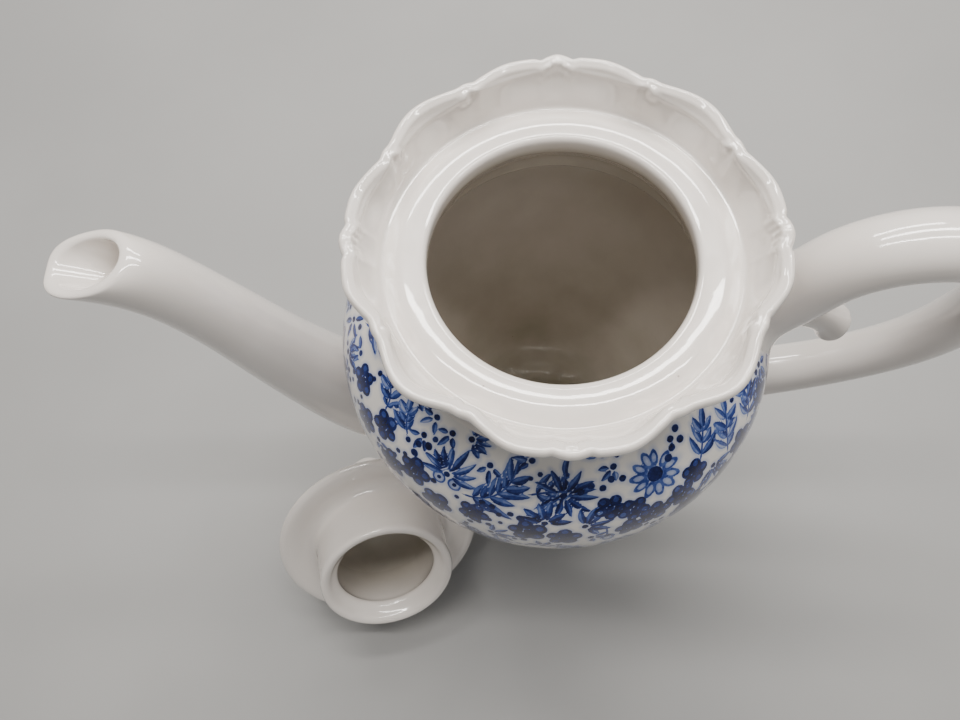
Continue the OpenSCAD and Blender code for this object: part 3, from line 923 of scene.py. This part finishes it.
def make_spout(material):
    columns, wall, lip_from = 120, 2.4, 0.86
    path = even(spline(SPOUT, 30), 0.8)[:-1]
    way = np.radians(180 - path[:, 4])
    share = np.linspace(0, 1, len(path))
    base = ovals(path[:, :4], way, columns)
    centre = base.mean(axis=1, keepdims=True)
    out = unit(base - centre)
    turn = turns(columns)
    near_lip = smooth(share, lip_from, 1.0)[:, None]
    corner = 0.09 * near_lip * (np.sin(2 * turn) ** 2 * (0.5 + 0.5 * np.cos(turn)))[None, :]
    blunt = base + (base - centre) * corner[:, :, None]
    # soft acanthus ribs that climb the underside from the root
    a = (np.degrees(turn) + 180) % 360 - 180
    rib = np.zeros((len(path), columns))
    for place, end, width, height in ((0, 0.44, 9, 1.5), (34, 0.40, 8, 1.3), (-34, 0.40, 8, 1.3),
                                      (66, 0.34, 9, 1.1), (-66, 0.34, 9, 1.1), (98, 0.26, 10, 0.8),
                                      (-98, 0.26, 10, 0.8)):
        drift = a[None, :] - place * (1 - 0.55 * share[:, None] / end)
        rib += height * np.exp(-(drift / width) ** 2) * (1 - smooth(share, end - 0.13, end))[:, None]
    outer = settle(blunt + out * rib[:, :, None], 12.0)
    heavy = near_lip * (0.1 + 0.75 * (0.5 - 0.5 * np.cos(np.radians(a)))[None, :])
    inner = press_out(base - out * (wall + heavy)[:, :, None])
    # the lip rolls over from the outer skin to the inner one, leaving each in its own direction
    t = np.linspace(0, 1, 20)[1:-1, None, None]
    leave, arrive = outer[-1] - outer[-3], inner[-3] - inner[-1]
    reach = 1.9 * np.linalg.norm(inner[-1] - outer[-1], axis=1, keepdims=True)
    leave *= reach / np.linalg.norm(leave, axis=1, keepdims=True)
    arrive *= reach / np.linalg.norm(arrive, axis=1, keepdims=True)
    lip = ((2 * t ** 3 - 3 * t ** 2 + 1) * outer[-1] + (t ** 3 - 2 * t ** 2 + t) * leave
           + (3 * t ** 2 - 2 * t ** 3) * inner[-1] + (t ** 3 - t ** 2) * arrive)
    rings = np.concatenate([outer, lip, inner[::-1]])
    points = rings.reshape(-1, 3)
    faces = ring_faces(len(rings), columns, closed=True)
    # painted shade, with some coffee stain, deepening from the tip down the spout's channel
    depth = np.concatenate([np.zeros(len(outer) + len(lip)), 0.5 * smooth(np.arange(len(inner)), 4, 60)])
    make_piece("spout_neck", points, faces, "spout", material, fields={"inside": np.repeat(depth, columns)})


def tube_path(keys, spacing):
    """Stations at that spacing, and the heading at each."""
    path = even(spline(keys, 24), spacing)
    step = np.gradient(path[:, :2], axis=0)
    return path, np.arctan2(step[:, 1], step[:, 0])


def make_handle(material):
    path, way = tube_path(HANDLE, 0.8)
    rings = settle(ovals(path, way, 112), 4.5)
    points, faces = capped(rings)
    make_piece("ear_handle", points, faces, "handle", material)


def dome(path, blunt):
    """Eleven stations that round off the end of a path."""
    last, way = path[-1], path[-1, :2] - path[-2, :2]
    way /= np.linalg.norm(way)
    return np.array([np.concatenate([last[:2] + way * blunt * math.sin(a), last[2:] * math.cos(a)])
                     for a in np.linspace(0, math.pi / 2 * 0.985, 12)[1:]])


def make_scroll(material):
    path, way = tube_path(SCROLL, 0.6)
    end = dome(path, 1.7)
    path = np.concatenate([path, end])
    way = np.concatenate([way, np.full(len(end), way[-1])])
    rings = settle(ovals(path, way, 72), 2.5)
    points, faces = capped(rings)
    make_piece("handle_curl", points, faces, "handle_scroll", material)


def make_leaf(material):
    columns = 72
    path, way = tube_path(LEAF, 0.5)
    front, back = dome(path[::-1], 2.2)[::-1], dome(path, 1.9)
    path = np.concatenate([front, path, back])
    way = np.concatenate([np.full(len(front), way[0]), way, np.full(len(back), way[-1])])
    rings = ovals(path, way, columns)
    turn = turns(columns)
    groove = 0.45 * np.cos(5 * turn)[None, :] * smooth(np.arange(len(path)), 2, 12)[:, None]
    rings = rings + unit(rings - rings.mean(axis=1, keepdims=True)) * groove[:, :, None]
    points, faces = capped(settle(rings, 1.5))
    make_piece("handle_acanthus", points, faces, "handle_leaf", material)


# ---- the lid
TILT, HEADING = 53.3, -69.5
LID_R, FLANGE_LEN, KNOB_R = 45.1, 24.6, 10.0
LID_Z = (LID_R - 2) * math.sin(math.radians(TILT)) + 1.2 * math.cos(math.radians(TILT)) + 2
KNOB_UP = (LID_Z - KNOB_R) / math.cos(math.radians(TILT))
LAID = (Matrix.Translation((-74.4, -52.8, LID_Z)) @ Matrix.Rotation(math.radians(HEADING), 4, "Z")
        @ Matrix.Rotation(math.radians(TILT + 180), 4, "Y"))


def lid_stain_and_shade(points, reach):
    """Coffee stain and painted shade in the lid's hollow, up to a radius."""
    return 0.8 * smooth(points[:, 2], -17, 6) * (ring_of(points) < reach)


def make_lid(material, stained_and_shaded):
    # one smooth curve runs from the flange's wall over its root and the soft groove to the rolled edge;
    # the cover and the flange each follow it and dip away where the other takes over
    sweep = even(spline([(28.85, -11), (28.85, -5.6), (29.05, -2.6), (29.8, -0.5), (31.2, 0.65),
                         (33.0, 1.0), (35.0, 0.8), (37.0, 0.2), (39.0, -0.45), (41.2, -0.9),
                         (43.1, -0.75), (44.5, 0.1), (45.1, 1.3), (44.7, 2.3), (43.6, 3.2)], 12), 0.3)
    handover = 37.0
    cover_side = sweep[sweep[:, 0] > 34.5].copy()
    cover_side[:, 1] += 0.35 * np.maximum(0, handover - cover_side[:, 0]) ** 2
    flange_side = sweep[:np.argmax(sweep[:, 0] > 38.8)].copy()
    flange_side[:, 1] += 0.35 * np.maximum(0, flange_side[:, 0] - handover) ** 2
    top = spline([(43.6, 3.2), (41.6, 4.25), (39.6, 5.9), (36.4, 9.4), (32.5, 14.9), (27, 20.5),
                  (20, 25.2), (13, 28.5), (7.4, 30.3), (4, 30.9), (0, 31)], 10)[1:]
    hollow = spline([(0, 27), (7, 26.3), (13.5, 23.8), (19, 19.6), (22.4, 14), (23.3, 7), (23.45, 2.5),
                     (23.9, 0.8), (26, 1.6)], 10)
    columns = 320
    points, faces = lathe(np.concatenate([hollow, cover_side, top]), columns)
    depth = lid_stain_and_shade(points, 24.5)
    # the outside and the tip of the dome get no stain or painted shade; the last point but one is the middle
    # of the hollow
    depth[(len(hollow) - 1) * columns:-2] = 0
    depth[-1] = 0
    make_piece("cover_dome", points, faces, "lid_cover", stained_and_shaded, body="lid", place=LAID,
               fields={"inside": depth})

    end = -FLANGE_LEN
    inner = spline([(24.6, 5.6), (23.75, 4.2), (23.44, 2.4), (23.36, 0), (23.3, -4), (23.1, -9),
                    (22.7, -13.4), (21.75, -16.3), (21.2, -17.5), (21.3, -18.5), (22.3, -20.0),
                    (24.0, -22.0), (25.4, 0.75 + end), (26.4, 0.15 + end), (27.3, end), (28.25, 0.5 + end),
                    (28.72, 1.6 + end), (28.8, 3.4 + end), (28.8, -16), (28.85, -11)], 10)
    points, faces = lathe(np.concatenate([inner, flange_side[1:], [(36, 3.2), (30, 3.6)]]), 288)
    make_piece("cover_flange", points, faces, "lid_flange", stained_and_shaded, body="lid", place=LAID,
               fields={"inside": lid_stain_and_shade(points, 25)})

    ball = arc((0, KNOB_UP), KNOB_R, -52, 90, 44)
    stem = spline([(9.6, 29.6), (7.6, 30.6), (6.0, 32.2), (5.2, 34.0), (5.05, 35.6), (5.5, 37.0),
                   ball[0]], 8)[:-1]
    points, faces = lathe(np.concatenate([[(0, 29.2)], stem, ball[:-1], [(0, KNOB_UP + KNOB_R)]]), 160)
    make_piece("cover_knob", points, faces, "lid_knob", material, body="lid", place=LAID)


# ---- the scene
photo_camera()
glaze = white_porcelain("white_glaze")
# the glaze of the insides, with its coffee stain and painted shade
stained_and_shaded_glaze = stained_and_shaded_porcelain("white_glaze_stained_and_shaded")
body = make_body()
drill_holes(body)
make_foot(bisque_foot("glazed_foot_bare_tread"))
make_seat(stained_and_shaded_glaze)
make_rim(glaze)
make_spout(stained_and_shaded_glaze)
make_handle(glaze)
make_scroll(glaze)
make_leaf(glaze)
make_lid(glaze, stained_and_shaded_glaze)

floor_mesh = bpy.data.meshes.new("floor")
floor_mesh.from_pydata([(-2, -2, 0), (2, -2, 0), (2, 2, 0), (-2, 2, 0)], [], [(0, 1, 2, 3)])
floor_mesh.materials.append(pale_floor("pale_paper"))
floor = bpy.data.objects.new("floor", floor_mesh)
show(floor)

world = bpy.data.worlds.new("studio")
scene.world = world
world.use_nodes = True
background = world.node_tree.nodes["Background"]
background.inputs["Color"].default_value = (1.0, 0.985, 0.965, 1)
background.inputs["Strength"].default_value = 0.17
for name, across, along, width, watts in (("near_strip", 0.06, 0.035, 0.045, 4.9),
                                          ("middle_strip", 0.10, 0.33, 0.085, 8.0),
                                          ("far_strip", 0.0, 0.66, 0.10, 8.2)):
    softbox(name, (across, along, 1.0), None, (0.9, width), watts, (1.0, 0.97, 0.93))
softbox("soft_key", (-0.22, 0.28, 1.15), (0, 0, 0.12), (0.7, 0.7), 3.4, (1.0, 0.975, 0.945), glossy=False)
softbox("soft_front", (0.35, -0.9, 0.9), (0, 0, 0.1), (0.8, 0.8), 2.0, (0.95, 0.975, 1.0), glossy=False)
